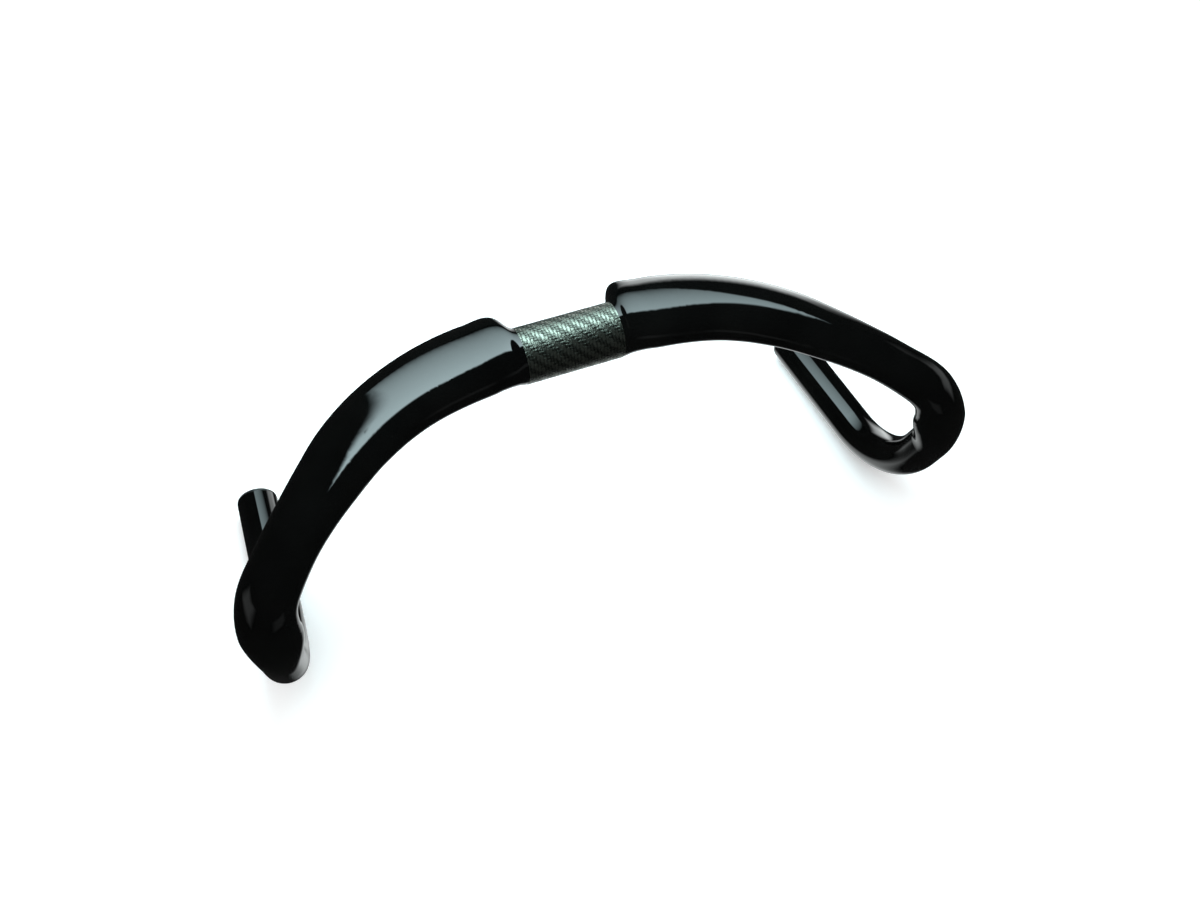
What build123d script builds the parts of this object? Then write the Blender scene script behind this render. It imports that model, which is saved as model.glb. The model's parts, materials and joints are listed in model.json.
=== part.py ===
"""Drop handlebar: a bonded carbon bar with an expanding plug in each end.

Millimetres. The origin is the centre of the stem clamp zone, on its axis. +X is along that axis,
-Y is forward and +Z is up. The half on the +X side is modelled, and the other half mirrors it.
"""

import os
from math import cos, degrees, radians, sin, tan

from build123d import *

# Overall shape
clamp_radius = 15.9  # 31.8 mm stem clamp
clamp_half_length = 28.0  # bar centre to each wing root
grip_radius = 11.9  # 23.8 mm lever and grip tube
hook_half_width = 190.0  # bar centre to the hook plane, level with the clamp axis
toe_in = 4.0  # degrees that the grips close towards the rear
tuck_in = 2.5  # degrees that the hooks close towards the bottom
sweep_corner = (90.0, 0.0, 0.0)  # where the clamp's axis meets the wing's slant
sweep_radius = 144.0
brow_forward = 86.0  # forward reach of the corner between wing and hook
brow_depth = 31.0  # clamp axis down to that corner
brow_radius = 23.5
upper_forward = 96.0  # corner that the upper bend rounds off
upper_depth = 55.0
upper_radius = 27.0
lower_forward = 74.5  # corner that the lower bend rounds off
lower_radius = 60.0
drop_depth = 118.0  # clamp axis down to the grip axis
grip_reach = 120.0  # lower corner back to the bar end

# Sections of the wing: how far the rear and front edges stand from the centre line, half the
# thickness, the twist in degrees, and the rise of the section's middle from the centre line
shoulder_length = 8.0  # root to the top of the rear shoulder
shoulder_rear = 30.0
flare_length = 24.0  # root to the widest place of the front edge
flare_front = 17.4
shoulder_step = 1.2  # shoulder thinner than the clamp, each side
shoulder_twist = 1.5
middle_place = 0.37  # share of the wing's line
middle_rear = 31.5
middle_front = 12.5
middle_thickness = 11.5
middle_twist = 3.0
middle_rise = -1.0
outer_place = 0.72
outer_rear = 24.5
outer_front = 8.5
outer_thickness = 10.0
outer_twist = 0.5
outer_rise = 2.8
brow_extra_chord = 4.1  # wing end wider than the grip, each side
brow_extra_thickness = 1.1
brow_twist = -4.5
easing = 0.25  # how far each value is evened out, as a share of the way to the nearer end
easing_samples = 4  # each side

# Walls and bonded joints
wall = 1.7  # wing and hook laminate
root_step = 0.15  # wing root under the clamp sleeve's surface
sleeve_wall = 4.5  # woven sleeve that builds the tube up to the clamp size
tube_wall = 2.0
solid_root = 12.0  # solid shoulder before the wing turns hollow
tube_tip = 3.0  # centre tube standing past the solid shoulder
spigot_wall = 1.6
spigot_half_length = 12.0
glue_gap = 0.15
cut_margin = 1.0  # hollows cut past their open ends

# Sections of the lofts: how many parts each stretch is divided into
shoulder_divisions = 4
top_divisions = 17
hollow_divisions = 15
lap_divisions = 6
turn_divisions = 10

# Expanding end plugs, from the bar's end face inwards
cap_thickness = 2.4
cap_rim_inset = 0.2
cap_rim_rounding = 1.5
cap_spigot_length = 4.0
plug_clearance = 0.08  # plug in the bar's bore, on radius
seat_gap = 0.1  # cap to expander sleeve
expander_length = 17.0
expander_wall = 2.8
expander_edge = 0.8  # wall left at each end by its conical seats
seat_depth = 4.0
expander_slot = 2.6
ring_wire_radius = 0.75
ring_groove_width = 1.9
ring_groove_depth = 1.6
nut_length = 11.0
nut_clearance = 0.4  # nut to sleeve, plug tightened
nut_key_lead = 1.2  # key ahead of the nut's small end
screw_radius = 2.5  # M5
screw_clearance = 0.06
screw_head_radius = 4.25
screw_head_height = 3.0
screw_head_recess = 0.25
head_clearance = 0.4
head_gap = 0.05
hex_across_flats = 4.0
hex_depth = 2.0
washer_radius = 4.4
washer_hole_clearance = 0.3
washer_thickness = 0.6
screw_tip_allowance = 5.0  # screw past the tightened nut, for the nut's travel
screw_tip_chamfer = 0.6

# Sizes that follow from those above
bore_radius = grip_radius - wall
tube_radius = clamp_radius - sleeve_wall
root_radius = clamp_radius - root_step
tube_lap = solid_root + tube_tip
plug_radius = bore_radius - plug_clearance
seat_mouth_radius = plug_radius - expander_edge
expander_bore = plug_radius - expander_wall
expander_start = -cap_spigot_length - seat_gap
expander_stop = expander_start - expander_length
nut_start = expander_stop + seat_depth
nut_stop = nut_start - nut_length
head_top = cap_thickness - screw_head_recess
head_seat = head_top - screw_head_height
washer_seat = head_seat - head_gap - washer_thickness
screw_stop = nut_stop - screw_tip_allowance

# Centre line of one half: from the wing root, out and forward, then down and back in the hook plane
hook_plane = Plane(
    origin=(hook_half_width, 0, 0),
    x_dir=(sin(radians(toe_in)), -cos(radians(toe_in)), 0),
    z_dir=(-1, -tan(radians(toe_in)), tan(radians(tuck_in))),
)
outward = -hook_plane.z_dir

with BuildLine() as centre_line:
    FilletPolyline(
        (clamp_half_length, 0, 0),
        sweep_corner,
        hook_plane.from_local_coords((brow_forward, -brow_depth)),
        hook_plane.from_local_coords((upper_forward, -upper_depth)),
        hook_plane.from_local_coords((lower_forward, -drop_depth)),
        hook_plane.from_local_coords((lower_forward - grip_reach, -drop_depth)),
        radius=(sweep_radius, brow_radius, upper_radius, lower_radius),
    )

bar_line = centre_line.wire()
stretches = bar_line.order_edges()
upper_bend, lever_line, lower_bend, grip_line = stretches[-4:]
wing_length = sum(stretch.length for stretch in stretches[:-4])
hook_start = wing_length + upper_bend.length  # where the section has turned round
bar_end = grip_line @ 1
end_direction = grip_line % 1

# Section values along the centre line, in millimetres from the wing root
middle = middle_place * wing_length
outer = outer_place * wing_length
rear_law = [
    (0, root_radius),
    (shoulder_length, shoulder_rear),
    (middle, middle_rear),
    (outer, outer_rear),
    (wing_length, grip_radius + brow_extra_chord),
    (hook_start, grip_radius),
]
front_law = [
    (0, root_radius),
    (flare_length, flare_front),
    (middle, middle_front),
    (outer, outer_front),
    (wing_length, grip_radius + brow_extra_chord),
    (hook_start, grip_radius),
]
thickness_law = [
    (0, root_radius),
    (shoulder_length, clamp_radius - shoulder_step),
    (middle, middle_thickness),
    (outer, outer_thickness),
    (wing_length, grip_radius + brow_extra_thickness),
    (hook_start, grip_radius),
]
twist_law = [
    (0, shoulder_twist),
    (shoulder_length, shoulder_twist),
    (middle, middle_twist),
    (outer, outer_twist),
    (wing_length, brow_twist),
    (hook_start, brow_twist),
]
rise_law = [
    (0, 0),
    (middle, middle_rise),
    (outer, outer_rise),
    (wing_length, 0),
    (hook_start, 0),
]


def knot_value(law, place):
    # Cubic curve through the law's knots, level at each peak, so that it never overshoots.
    gaps = [b[0] - a[0] for a, b in zip(law, law[1:])]
    rates = [(b[1] - a[1]) / (b[0] - a[0]) for a, b in zip(law, law[1:])]
    slopes = [0.0]
    for i in range(1, len(law) - 1):
        before, after = rates[i - 1], rates[i]
        weight_1 = 2 * gaps[i] + gaps[i - 1]
        weight_2 = gaps[i] + 2 * gaps[i - 1]
        level = before * after <= 0
        slopes.append(0.0 if level else (weight_1 + weight_2) / (weight_1 / before + weight_2 / after))
    slopes.append(0.0)
    i = max(k for k in range(len(gaps)) if k == 0 or law[k][0] <= place)
    t = (place - law[i][0]) / gaps[i]
    return (
        law[i][1] * (1 + 2 * t) * (1 - t) ** 2
        + law[i + 1][1] * t * t * (3 - 2 * t)
        + gaps[i] * t * (1 - t) * (slopes[i] * (1 - t) - slopes[i + 1] * t)
    )


def eased_value(law, place):
    # Mean of that curve over a short stretch each side, so that the surface bends evenly.
    length = law[-1][0]
    step = easing * place * (length - place) / length / easing_samples
    samples = range(-easing_samples, easing_samples + 1)
    return sum(knot_value(law, place + k * step) for k in samples) / len(samples)


def section_plane(place):
    # Plane across the centre line: local x towards the rear edge, local y towards the top.
    middle_point = bar_line.position_at(place, position_mode=PositionMode.LENGTH)
    direction = bar_line.tangent_at(place, position_mode=PositionMode.LENGTH)
    rearward = hook_plane.y_dir.cross(direction) if place < wing_length else outward
    return Plane(origin=middle_point, x_dir=rearward, z_dir=direction)


def section(place, inset):
    # The bar's oval section at one place, drawn in by inset.
    rear, front = eased_value(rear_law, place), eased_value(front_law, place)
    with BuildSketch(section_plane(place)) as oval:
        with Locations(((rear - front) / 2, eased_value(rise_law, place))):
            Ellipse(
                (rear + front) / 2 - inset,
                eased_value(thickness_law, place) - inset,
                rotation=eased_value(twist_law, place),
            )
    return oval.sketch


def spaced(first, last, count):
    return [first + (last - first) * i / count for i in range(count + 1)]


def sections(places, inset):
    return [section(place, inset) for place in places]


def save(name, built):
    built.part.label = name
    export_step(built.part, f"parts/{name}.step")


def save_pair(name, right):
    save(f"right_{name}", right)
    with BuildPart() as left:
        mirror(right.part, about=Plane.YZ)
    save(f"left_{name}", left)


# Stretches of the bar, divided for its lofts; wing and spigot share their sections along the lap
lap_start = wing_length - spigot_half_length
shoulder = spaced(0, shoulder_length, shoulder_divisions)
top = spaced(shoulder_length, lap_start, top_divisions)
hollow_top = spaced(solid_root, lap_start, hollow_divisions)
lap = spaced(lap_start, wing_length, lap_divisions)
spigot_rest = spaced(wing_length, wing_length + spigot_half_length, lap_divisions)
turn_round = spaced(wing_length, hook_start, turn_divisions)


def make_clamp_sleeve():
    # Woven carbon sleeve: the 31.8 mm seat for the stem.
    with BuildPart() as clamp_sleeve:
        with BuildSketch(Plane.YZ.offset(-clamp_half_length)):
            Circle(clamp_radius)
            Circle(tube_radius + glue_gap, mode=Mode.SUBTRACT)
        extrude(amount=2 * clamp_half_length)
    return clamp_sleeve


def make_centre_tube():
    # Structural tube through the sleeve, bonded into both wing roots.
    half_length = clamp_half_length + tube_lap
    with BuildPart() as centre_tube:
        with BuildSketch(Plane.YZ.offset(-half_length)):
            Circle(tube_radius)
            Circle(tube_radius - tube_wall, mode=Mode.SUBTRACT)
        extrude(amount=2 * half_length)
    return centre_tube


def make_wing():
    # Hollow wing: shoulder, flattened top and brow, with a socket for the centre tube.
    past_end = wing_length + cut_margin
    with BuildPart() as wing:
        loft(sections(shoulder + top[1:] + lap[1:], 0))
        loft(sections(hollow_top + lap[1:] + [past_end], wall), mode=Mode.SUBTRACT)
        with BuildSketch(Plane.YZ.offset(clamp_half_length)):
            Circle(tube_radius + glue_gap)
        extrude(amount=tube_lap, mode=Mode.SUBTRACT)
    return wing


def hook_form(inset, past):
    # Hook drawn in by inset: oval brow turning round, straight lever seat, lower bend, then a grip
    # that runs past the bar end by past.
    with BuildPart() as form:
        loft(sections(turn_round, inset))
        with BuildSketch(Plane(origin=lever_line @ 0, z_dir=lever_line % 0)):
            Circle(grip_radius - inset)
        extrude(amount=lever_line.length)
        with BuildSketch(Plane(origin=lower_bend @ 0, z_dir=lower_bend % 0)):
            Circle(grip_radius - inset)
        revolve(
            axis=Axis(lower_bend.arc_center, outward),
            revolution_arc=degrees(lower_bend.length / lower_radius),
        )
        with BuildSketch(Plane(origin=grip_line @ 0, z_dir=end_direction)):
            Circle(grip_radius - inset)
        extrude(amount=grip_line.length + past)
    return form.part


def make_hook():
    with BuildPart() as hook:
        add(hook_form(0, 0))
        add(hook_form(wall, cut_margin), mode=Mode.SUBTRACT)
    return hook


def make_joint_spigot():
    # Bonded ferrule inside the joint between wing and hook.
    places = lap + spigot_rest[1:]
    hollow = [places[0] - cut_margin] + places + [places[-1] + cut_margin]
    with BuildPart() as spigot:
        loft(sections(places, wall + glue_gap))
        loft(sections(hollow, wall + glue_gap + spigot_wall), mode=Mode.SUBTRACT)
    return spigot


# Plug pieces are turned about the grip's axis: profile x is the radius, profile y points out of the bar
profile_plane = Plane(
    origin=bar_end, x_dir=hook_plane.y_dir, z_dir=hook_plane.y_dir.cross(end_direction)
)
end_axis = Axis(bar_end, end_direction)
end_plane = Plane(origin=bar_end, x_dir=hook_plane.y_dir, z_dir=end_direction)


def make_plug_cap():
    # Closes the bar end: rounded flange, spigot, and the cone that opens the sleeve.
    flange_radius = grip_radius - cap_rim_inset
    head_bore = screw_head_radius + head_clearance
    with BuildPart() as plug_cap:
        with BuildSketch(profile_plane):
            with BuildLine():
                Polyline(
                    (screw_radius + screw_clearance, washer_seat),
                    (head_bore, washer_seat),
                    (head_bore, cap_thickness),
                    (flange_radius, cap_thickness),
                    (flange_radius, 0),
                    (plug_radius, 0),
                    (plug_radius, -cap_spigot_length),
                    (seat_mouth_radius - seat_gap, -cap_spigot_length),
                    (expander_bore - seat_gap, -cap_spigot_length - seat_depth),
                    (screw_radius + screw_clearance, -cap_spigot_length - seat_depth),
                    close=True,
                )
            make_face()
        revolve(axis=end_axis)
        outer_rim = plug_cap.edges().group_by(end_axis)[-1].sort_by(SortBy.RADIUS)[-1]
        fillet(outer_rim, cap_rim_rounding)
    return plug_cap


def make_screw_washer():
    with BuildPart() as screw_washer:
        with BuildSketch(end_plane.offset(washer_seat)):
            Circle(washer_radius)
            Circle(screw_radius + washer_hole_clearance, mode=Mode.SUBTRACT)
        extrude(amount=washer_thickness)
    return screw_washer


def make_plug_screw():
    # M5 socket head screw; its thread is drawn as a plain shank.
    with BuildPart() as plug_screw:
        with BuildSketch(end_plane.offset(screw_stop)):
            Circle(screw_radius)
        extrude(amount=head_seat - screw_stop)
        chamfer(plug_screw.edges().group_by(end_axis)[0], screw_tip_chamfer)
        with BuildSketch(end_plane.offset(head_seat)):
            Circle(screw_head_radius)
        extrude(amount=screw_head_height)
        with BuildSketch(end_plane.offset(head_top)):
            RegularPolygon(hex_across_flats / 2, 6, major_radius=False)
        extrude(amount=-hex_depth, mode=Mode.SUBTRACT)
    return plug_screw


def make_expander_sleeve():
    # Split sleeve that the two cones spread against the bar's bore.
    groove_middle = (expander_start + expander_stop) / 2
    with BuildPart() as expander_sleeve:
        with BuildSketch(profile_plane):
            with BuildLine():
                Polyline(
                    (seat_mouth_radius, expander_start),
                    (plug_radius, expander_start),
                    (plug_radius, expander_stop),
                    (seat_mouth_radius, expander_stop),
                    (expander_bore, nut_start),
                    (expander_bore, expander_start - seat_depth),
                    close=True,
                )
            make_face()
            with Locations((plug_radius, groove_middle)):
                Rectangle(2 * ring_groove_depth, ring_groove_width, mode=Mode.SUBTRACT)
        revolve(axis=end_axis)
        with BuildSketch(end_plane.offset(expander_stop)):
            with Locations((plug_radius, 0)):
                Rectangle(2 * plug_radius, expander_slot)
        extrude(amount=expander_length, mode=Mode.SUBTRACT)
    return expander_sleeve


def make_sleeve_ring():
    # Rubber ring that holds the split sleeve closed.
    ring_middle = plug_radius - ring_groove_depth + ring_wire_radius
    with BuildPart() as sleeve_ring:
        with BuildSketch(profile_plane):
            with Locations((ring_middle, (expander_start + expander_stop) / 2)):
                Circle(ring_wire_radius)
        revolve(axis=end_axis)
    return sleeve_ring


def make_cone_nut():
    # Nut whose cone opens the sleeve; its key runs in the sleeve's slot and stops it turning.
    small_radius = expander_bore - nut_clearance
    large_radius = seat_mouth_radius - nut_clearance
    with BuildPart() as cone_nut:
        with BuildSketch(profile_plane):
            with BuildLine():
                Polyline(
                    (0, nut_start),
                    (small_radius, nut_start),
                    (large_radius, expander_stop),
                    (large_radius, nut_stop),
                    (0, nut_stop),
                    close=True,
                )
            make_face()
        revolve(axis=end_axis)
        with BuildSketch(end_plane.offset(nut_stop)):
            with Locations((seat_mouth_radius / 2, 0)):
                Rectangle(seat_mouth_radius, expander_slot - 2 * nut_clearance)
        extrude(amount=nut_length + nut_key_lead)
        with BuildSketch(end_plane.offset(nut_stop)):
            Circle(screw_radius + screw_clearance)
        extrude(amount=nut_length + nut_key_lead, mode=Mode.SUBTRACT)
    return cone_nut


if __name__ == "__main__":
    os.makedirs("parts", exist_ok=True)
    save("clamp_sleeve", make_clamp_sleeve())
    save("centre_tube", make_centre_tube())
    save_pair("wing", make_wing())
    save_pair("hook", make_hook())
    save_pair("joint_spigot", make_joint_spigot())
    save_pair("plug_cap", make_plug_cap())
    save_pair("screw_washer", make_screw_washer())
    save_pair("plug_screw", make_plug_screw())
    save_pair("expander_sleeve", make_expander_sleeve())
    save_pair("sleeve_ring", make_sleeve_ring())
    save_pair("cone_nut", make_cone_nut())
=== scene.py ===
import json
import math

import bmesh
import bpy
from mathutils import Matrix, Vector


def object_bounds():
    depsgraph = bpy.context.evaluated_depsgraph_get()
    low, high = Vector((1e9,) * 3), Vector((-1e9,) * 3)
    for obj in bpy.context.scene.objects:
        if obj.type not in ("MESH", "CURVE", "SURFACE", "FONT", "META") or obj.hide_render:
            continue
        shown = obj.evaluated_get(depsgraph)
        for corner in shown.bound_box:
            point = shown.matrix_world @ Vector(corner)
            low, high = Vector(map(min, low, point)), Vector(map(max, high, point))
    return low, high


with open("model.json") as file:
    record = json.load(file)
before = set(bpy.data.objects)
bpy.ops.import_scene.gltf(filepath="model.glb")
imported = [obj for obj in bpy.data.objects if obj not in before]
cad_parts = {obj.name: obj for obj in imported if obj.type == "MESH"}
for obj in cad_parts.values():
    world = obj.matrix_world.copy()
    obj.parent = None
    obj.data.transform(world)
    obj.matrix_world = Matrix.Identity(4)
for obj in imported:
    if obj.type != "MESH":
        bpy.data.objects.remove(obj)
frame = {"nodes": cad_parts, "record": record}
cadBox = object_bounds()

nodes = frame["nodes"]


# Shader maths: a wrapped socket adds a Math node for each operator

class Shade:
    def __init__(self, build, socket):
        self.build = build
        self.socket = socket

    def maths(self, operation, *others):
        return self.build.add("ShaderNodeMath", {"operation": operation}, [self, *others])

    def __add__(self, other):
        return self.maths("ADD", other)

    __radd__ = __add__

    def __sub__(self, other):
        return self.maths("SUBTRACT", other)

    def __rsub__(self, other):
        return self.build.add("ShaderNodeMath", {"operation": "SUBTRACT"}, [other, self])

    def __mul__(self, other):
        return self.maths("MULTIPLY", other)

    __rmul__ = __mul__

    def __truediv__(self, other):
        return self.maths("DIVIDE", other)

    def wrapped(self, low, high):
        return self.maths("WRAP", high, low)

    def least(self, other):
        return self.maths("MINIMUM", other)

    def kept(self):
        # held between 0 and 1
        return self.maths("MAXIMUM", 0.0).maths("MINIMUM", 1.0)

    def above(self, level):
        return self.maths("GREATER_THAN", level)


class Nodes:
    # a node tree that every node is added to in the same way
    def __init__(self, tree):
        self.tree = tree

    def add(self, kind, settings, inputs, output=0):
        node = self.tree.nodes.new(kind)
        for name, value in settings.items():
            if name == "ramp":
                self.fillRamp(node.color_ramp, value)
            else:
                setattr(node, name, value)
        pairs = inputs.items() if isinstance(inputs, dict) else enumerate(inputs)
        for name, value in pairs:
            if isinstance(value, Shade):
                self.tree.links.new(value.socket, node.inputs[name])
            else:
                node.inputs[name].default_value = value
        return None if output is None else Shade(self, node.outputs[output])

    def fillRamp(self, ramp, stops):
        stops = list(stops)
        while len(ramp.elements) < len(stops):
            ramp.elements.new(1.0)
        for element, (position, color) in zip(ramp.elements, stops):
            element.position = position
            element.color = (*color, 1.0)


class Finish(Nodes):
    # one material on the Principled shader
    def __init__(self, name, **surface):
        self.material = bpy.data.materials.new(name)
        self.material.use_nodes = True
        super().__init__(self.material.node_tree)
        self.principled = self.tree.nodes["Principled BSDF"]
        for socket, value in surface.items():
            self.principled.inputs[socket.replace("_", " ")].default_value = value
        self.place = self.add("ShaderNodeTexCoord", {}, [], "Object")

    def feed(self, socket, value):
        self.tree.links.new(value.socket, self.principled.inputs[socket])

    def noise(self, scale, detail=2.0, place=None):
        inputs = {"Vector": place or self.place, "Scale": scale, "Detail": detail}
        return self.add("ShaderNodeTexNoise", {}, inputs, "Fac")

    def ramp(self, value, stops):
        return self.add("ShaderNodeValToRGB", {"ramp": stops}, [value], "Color")

    def spread(self, value, low, high):
        return self.add("ShaderNodeMapRange", {}, [value, 0.0, 1.0, low, high])

    def bump(self, height, strength, distance):
        inputs = {"Height": height, "Strength": strength, "Distance": distance}
        return self.add("ShaderNodeBump", {}, inputs)


glossCarbon = {
    "dark": (0.0008, 0.0009, 0.0009),
    "light": (0.002, 0.0022, 0.0021),
    "cloudScale": 30.0,
    "stops": (0.3, 0.75),
    "baseRoughness": (0.3, 0.42),
    "roughnessScale": 90.0,
    "coatRoughness": 0.03,
    "coatIndex": 1.5,
    "peelScale": 240.0,
    "peelStrength": 0.03,
    "peelDepth": 0.0002,
}


def makeGlossCarbon():
    # black laminate under a deep clear coat, with a trace of orange peel
    v = glossCarbon
    f = Finish(
        "gloss_carbon", Specular_IOR_Level=0.0, Coat_Weight=1.0,
        Coat_Roughness=v["coatRoughness"], Coat_IOR=v["coatIndex"],
    )
    cloud = f.noise(v["cloudScale"], 3.0)
    f.feed("Base Color", f.ramp(cloud, zip(v["stops"], (v["dark"], v["light"]))))
    f.feed("Roughness", f.spread(f.noise(v["roughnessScale"], 4.0), *v["baseRoughness"]))
    peel = f.noise(v["peelScale"], 1.0)
    f.feed("Normal", f.bump(peel, v["peelStrength"], v["peelDepth"]))
    return f.material


wovenCarbon = {
    "towsRound": 52,
    "tow": 0.00192,
    "ragged": 0.85,
    "raggedScale": (240.0, 1100.0),
    # the two tow colours are the same fibre painted lit and shaded, a painted sheen on the weave
    "litTowColor": (0.21, 0.235, 0.2),
    "shadedTowColor": (0.025, 0.029, 0.025),
    "fibre": 9000.0,
    "stretch": 0.06,
    "metallic": 0.97,
    "stops": (0.2, 0.85),
    "shadeShares": (0.3, 0.35, 0.35),
    "heightShares": (0.75, 0.25),
    "roughness": (0.24, 0.38),
    "weaveStrength": 0.7,
    "weaveDepth": 0.00032,
}


def makeWovenCarbon():
    # two-over-two twill round the clamp: tows along the bar pass over and under tows round it, with a
    # painted sheen and painted crease shade on the tows
    v = wovenCarbon
    f = Finish("woven_carbon", Metallic=v["metallic"], IOR=1.5)
    x, y, z = (f.add("ShaderNodeSeparateXYZ", {}, {"Vector": f.place}, axis) for axis in "XYZ")
    angle = z.maths("ARCTAN2", y)
    coarse, fine = (f.noise(scale, 3.0) - 0.5 for scale in v["raggedScale"])
    wander = (coarse + fine) * v["ragged"]
    along = x / v["tow"] + wander
    around = angle * (v["towsRound"] / (2 * math.pi)) + wander
    step = along.maths("FLOOR") - around.maths("FLOOR")
    warpUp = step.wrapped(0.0, 4.0).above(1.5)
    alongTow = along.maths("FRACT") - 0.5
    aroundTow = around.maths("FRACT") - 0.5
    alongRise = 1 - alongTow * alongTow * 4
    aroundRise = 1 - aroundTow * aroundTow * 4
    rise = warpUp * aroundRise + (1 - warpUp) * alongRise
    lengthways = f.add(
        "ShaderNodeMapping", {}, {"Vector": f.place, "Scale": (v["stretch"], 1.0, 1.0)}
    )
    roundways = f.add(
        "ShaderNodeMapping", {}, {"Vector": f.place, "Scale": (1.0, v["stretch"], v["stretch"])}
    )
    warpStrands = f.noise(v["fibre"], 1.0, lengthways)
    weftStrands = f.noise(v["fibre"], 1.0, roundways)
    strands = warpUp * warpStrands + (1 - warpUp) * weftStrands
    # painted highlight and shade: each tow is painted lighter on its crown and darker in the creases
    # between tows
    weftSheenShare, strandShare, crownHighlightShare = v["shadeShares"]
    # painted sheen: tows running round the clamp are painted lighter than tows along the bar; the
    # strand noise is a random fibre tone
    shade = (1 - warpUp) * weftSheenShare + strands * strandShare + alongRise * crownHighlightShare
    f.feed("Base Color", f.ramp(shade, zip(v["stops"], (v["shadedTowColor"], v["litTowColor"]))))
    f.feed("Roughness", f.spread(strands, *v["roughness"]))
    riseHeight, strandHeight = v["heightShares"]
    height = rise * riseHeight + strands * strandHeight
    f.feed("Normal", f.bump(height, v["weaveStrength"], v["weaveDepth"]))
    return f.material


# plainer finishes: mottled colour, roughness and a fine bump, each from its own noise (scale, detail)

rawCarbon = {
    # moulded laminate without clear coat, as on the tube and spigots
    "surface": {"IOR": 1.5},
    "stretch": (0.15, 1.0, 1.0),
    "colors": [(0.3, (0.012, 0.012, 0.013)), (0.7, (0.03, 0.031, 0.033))],
    "colorNoise": (2600.0, 3.0),
    "roughness": (0.38, 0.6),
    "roughnessNoise": (300.0, 2.0),
    "bumpNoise": (2600.0, 3.0),
    "bump": (0.3, 0.0001),
}

capPlastic = {
    # satin moulded nylon with a fine spark-eroded grain and a little rubbing
    "surface": {"IOR": 1.5},
    "colors": [(0.35, (0.009, 0.0095, 0.0095)), (0.8, (0.02, 0.0205, 0.021))],
    "colorNoise": (160.0, 4.0),
    "roughness": (0.3, 0.55),
    "roughnessNoise": (160.0, 4.0),
    "bumpNoise": (5200.0, 2.0),
    "bump": (0.25, 0.00006),
}

sleevePlastic = {
    # dull nylon with faint flow marks
    "surface": {"IOR": 1.5},
    "colors": [(0.3, (0.03, 0.03, 0.032)), (0.75, (0.06, 0.06, 0.063))],
    "colorNoise": (220.0, 5.0),
    "roughness": (0.45, 0.7),
    "roughnessNoise": (220.0, 5.0),
    "bumpNoise": (4200.0, 2.0),
    "bump": (0.3, 0.00006),
}

screwSteel = {
    # stainless steel with fine marks and darker handling spots
    "surface": {"Metallic": 1.0},
    "colors": [(0.3, (0.2, 0.2, 0.205)), (0.7, (0.36, 0.36, 0.37))],
    "colorNoise": (500.0, 4.0),
    "roughness": (0.22, 0.42),
    "roughnessNoise": (3600.0, 2.0),
    "bumpNoise": (3600.0, 2.0),
    "bump": (0.2, 0.00004),
}

nutAlloy = {
    # turned aluminium with a little bright wear
    "surface": {"Metallic": 1.0},
    "colors": [(0.3, (0.5, 0.51, 0.53)), (0.7, (0.74, 0.75, 0.77))],
    "colorNoise": (2400.0, 3.0),
    "roughness": (0.25, 0.45),
    "roughnessNoise": (350.0, 3.0),
    "bumpNoise": (2400.0, 3.0),
    "bump": (0.25, 0.00005),
}

ringRubber = {
    # dull black rubber with a dusty bloom
    "surface": {"IOR": 1.5},
    "colors": [(0.35, (0.008, 0.008, 0.008)), (0.8, (0.022, 0.022, 0.022))],
    "colorNoise": (700.0, 5.0),
    "roughness": (0.6, 0.85),
    "roughnessNoise": (700.0, 5.0),
    "bumpNoise": (5000.0, 2.0),
    "bump": (0.3, 0.00005),
}


def makePlainFinish(name, v):
    f = Finish(name, **v["surface"])
    place = f.place
    if "stretch" in v:
        place = f.add("ShaderNodeMapping", {}, {"Vector": f.place, "Scale": v["stretch"]})
    f.feed("Base Color", f.ramp(f.noise(*v["colorNoise"], place), v["colors"]))
    f.feed("Roughness", f.spread(f.noise(*v["roughnessNoise"]), *v["roughness"]))
    f.feed("Normal", f.bump(f.noise(*v["bumpNoise"], place), *v["bump"]))
    return f.material


finishes = {
    "gloss_carbon": makeGlossCarbon(),
    "woven_carbon": makeWovenCarbon(),
    "raw_carbon": makePlainFinish("raw_carbon", rawCarbon),
    "cap_plastic": makePlainFinish("cap_plastic", capPlastic),
    "sleeve_plastic": makePlainFinish("sleeve_plastic", sleevePlastic),
    "steel": makePlainFinish("steel", screwSteel),
    "nut_alloy": makePlainFinish("nut_alloy", nutAlloy),
    "ring_rubber": makePlainFinish("ring_rubber", ringRubber),
}


def dressNodes():
    for part in frame["record"]["subparts"]:
        piece = nodes[part["node"]]
        piece.data.materials.clear()
        piece.data.materials.append(finishes[part["material_slot"]])


dressNodes()
print("CAD nodes dressed:", len(nodes))


# Camera: in front, above and to the left of the bar

cameraView = {
    "azimuth": -25.1,
    "elevation": 52.3,
    "roll": 3.2,
    "distance": 0.7078,
    "aimRight": 0.0178,
    "aimUp": -0.0587,
    "lens": 38.68,
    "sensor": 36.0,
    "clipStart": 0.01,
}


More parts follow.
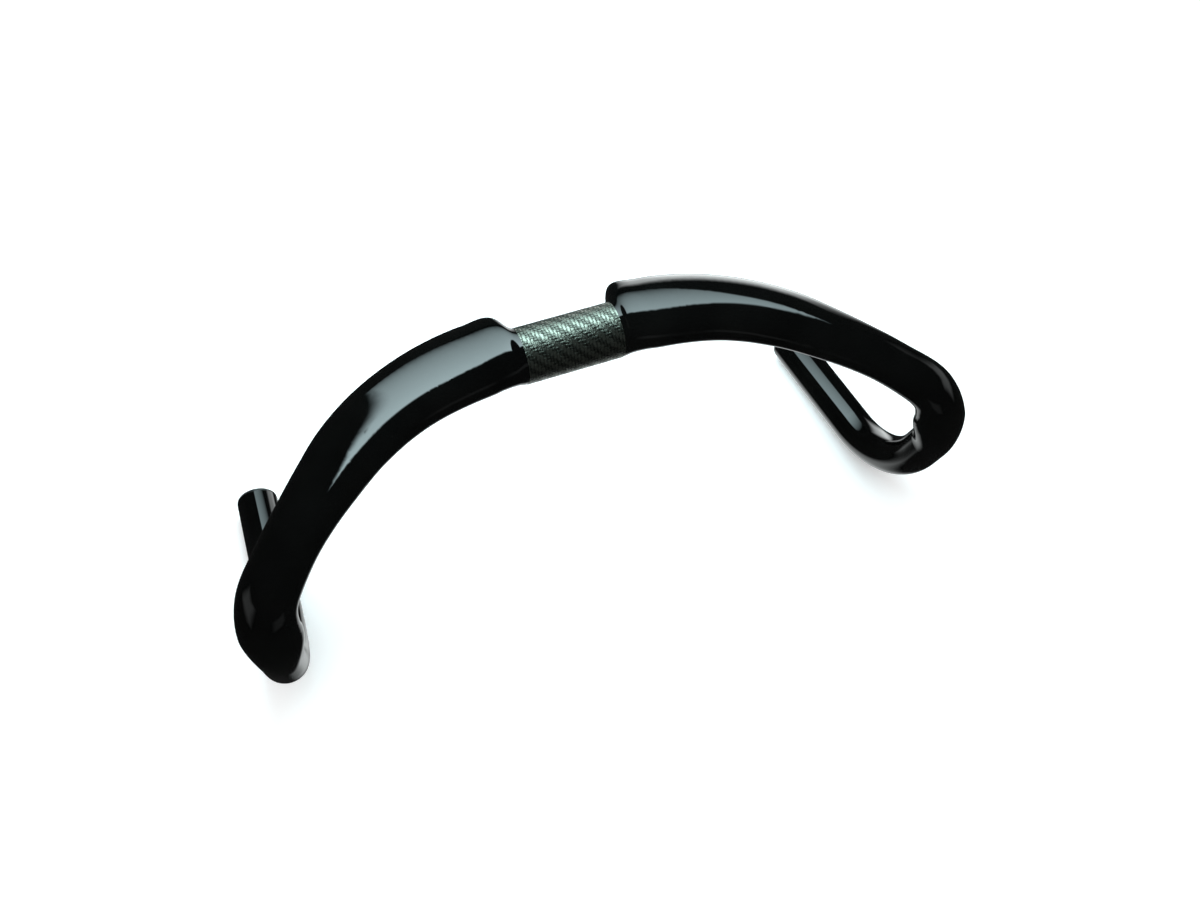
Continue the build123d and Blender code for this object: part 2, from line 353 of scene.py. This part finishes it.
def placeCamera():
    v = cameraView
    azimuth, elevation, roll = (math.radians(v[k]) for k in ("azimuth", "elevation", "roll"))
    back = Vector((
        math.sin(azimuth) * math.cos(elevation),
        -math.cos(azimuth) * math.cos(elevation),
        math.sin(elevation),
    ))
    level = Vector((math.cos(azimuth), math.sin(azimuth), 0))
    turned = Matrix.Rotation(roll, 3, back)
    right = turned @ level
    up = back.cross(right)
    lens = bpy.data.cameras.new("camera")
    lens.lens = v["lens"]
    lens.sensor_width = v["sensor"]
    lens.clip_start = v["clipStart"]
    lens.dof.use_dof = False
    camera = bpy.data.objects.new("camera", lens)
    bpy.context.scene.collection.objects.link(camera)
    aim = right * v["aimRight"] + up * v["aimUp"]
    facing = Matrix((right, up, back)).transposed().to_4x4()
    camera.matrix_world = Matrix.Translation(aim + back * v["distance"]) @ facing
    bpy.context.scene.camera = camera


placeCamera()
print("camera placed")


# Studio: pale floor, one large softbox above and behind, dim cards all round and below

studio = {
    "floorHalf": 4.0,
    "floorColor": (0.92, 0.93, 0.93, 1),
    "floorRoughness": 0.9,
    "floorGlow": 0.25,
    "worldGlow": 1.0,
    "worldReflected": 0.02,
}

# each card: its corners in order, its tint, its brightness at the first corner, how much that
# falls towards the second and the fourth, and the width of its soft edge as a share of its size
cards = {
    "softbox": {
        "corners": (
            (-0.113, -0.044, 0.312), (-0.245, 0.488, 0.272), (0.235, 0.608, 0.24), (0.3675, 0.076, 0.28)
        ),
        "tint": (0.74, 0.96, 1.0),
        "glow": 11.1,
        "fallBack": 10.0,
        "fallRight": 5.4,
        "edge": 0.045,
        "lights": True,
    },
    "rearCard": {
        "corners": (
            (0.3, 1.05, -0.6), (0.3, 1.05, 0.36), (1.0, 0.62, 0.36), (1.0, 0.62, -0.6)
        ),
        "tint": (0.95, 1.0, 1.0),
        "glow": 4.0,
        "fallBack": 1.0,
        "fallRight": 0.0,
        "edge": 0.35,
        "lights": False,
    },
    "lowCard": {
        "corners": (
            (-0.2, -0.1, -0.5), (-0.2, 0.45, -0.5), (0.4, 0.45, -0.5), (0.4, -0.1, -0.5)
        ),
        "tint": (0.95, 1.0, 1.0),
        "glow": 1.1,
        "fallBack": 0.0,
        "fallRight": 0.0,
        "edge": 0.3,
        "lights": False,
    },
    "leftCard": {
        "corners": ((-1.0, -0.5, 0.0), (-1.0, -0.5, 0.55), (-1.0, 0.5, 0.55), (-1.0, 0.5, 0.0)),
        "tint": (0.95, 1.0, 1.0),
        "glow": 0.45,
        "fallBack": 0.0,
        "fallRight": 0.0,
        "edge": 0.35,
        "lights": False,
    },
    "rightCard": {
        "corners": ((1.0, 0.5, 0.0), (1.0, 0.5, 0.55), (1.0, -0.5, 0.55), (1.0, -0.5, 0.0)),
        "tint": (0.95, 1.0, 1.0),
        "glow": 0.7,
        "fallBack": 0.0,
        "fallRight": 0.0,
        "edge": 0.35,
        "lights": False,
    },
    "frontCard": {
        "corners": ((-0.6, -1.2, 0.05), (-0.6, -1.2, 0.5), (0.6, -1.2, 0.5), (0.6, -1.2, 0.05)),
        "tint": (0.95, 1.0, 1.0),
        "glow": 0.15,
        "fallBack": 0.0,
        "fallRight": 0.0,
        "edge": 0.35,
        "lights": False,
    },
}


def makeFloor():
    v = studio
    mesh = bpy.data.meshes.new("floor")
    work = bmesh.new()
    low = Matrix.Translation((0, 0, cadBox[0][2]))
    bmesh.ops.create_grid(work, x_segments=1, y_segments=1, size=v["floorHalf"], matrix=low)
    work.to_mesh(mesh)
    work.free()
    floor = bpy.data.objects.new("floor", mesh)
    bpy.context.scene.collection.objects.link(floor)
    paint = Finish(
        "floor_paint", Base_Color=v["floorColor"], Roughness=v["floorRoughness"],
        Emission_Color=v["floorColor"], Emission_Strength=v["floorGlow"],
    )
    mesh.materials.append(paint.material)
    floor.visible_glossy = False


def makeCard(name):
    v = cards[name]
    mesh = bpy.data.meshes.new(name)
    work = bmesh.new()
    face = work.faces.new([work.verts.new(corner) for corner in v["corners"]])
    spread = work.loops.layers.uv.new("spread")
    for loop, uv in zip(face.loops, ((0, 0), (0, 1), (1, 1), (1, 0))):
        loop[spread].uv = uv
    work.to_mesh(mesh)
    work.free()
    card = bpy.data.objects.new(name, mesh)
    bpy.context.scene.collection.objects.link(card)
    material = bpy.data.materials.new(name + "_cloth")
    material.use_nodes = True
    material.node_tree.nodes.clear()
    f = Nodes(material.node_tree)
    uv = f.add("ShaderNodeUVMap", {"uv_map": "spread"}, [])
    across, away = (f.add("ShaderNodeSeparateXYZ", {}, [uv], axis) for axis in "XY")
    inward = across.least(1 - across).least(away).least(1 - away)
    edge = (inward / v["edge"]).kept()
    soft = edge * edge * (3 - edge * 2)
    glow = (v["glow"] - across * v["fallRight"] - away * v["fallBack"]).maths("MAXIMUM", 0.0) * soft
    light = f.add("ShaderNodeEmission", {}, {"Color": (*v["tint"], 1), "Strength": glow})
    f.add("ShaderNodeOutputMaterial", {}, [light], None)
    mesh.materials.append(material)
    card.visible_camera = False
    card.visible_shadow = False
    card.visible_diffuse = v["lights"]


def lightRoom():
    # the room lights everything evenly, while polished surfaces see it dim
    v = studio
    world = bpy.data.worlds.new("room")
    bpy.context.scene.world = world
    world.use_nodes = True
    world.node_tree.nodes.clear()
    f = Nodes(world.node_tree)
    polished = f.add("ShaderNodeLightPath", {}, [], "Is Glossy Ray")
    pale = f.add("ShaderNodeBackground", {}, {"Color": (1, 1, 1, 1), "Strength": v["worldGlow"]})
    dim = f.add("ShaderNodeBackground", {}, {"Color": (1, 1, 1, 1), "Strength": v["worldReflected"]})
    room = f.add("ShaderNodeMixShader", {}, [polished, pale, dim])
    f.add("ShaderNodeOutputWorld", {}, [room], None)


makeFloor()
for name in cards:
    makeCard(name)
lightRoom()
bpy.context.scene.view_settings.view_transform = "Standard"
print("studio lit")
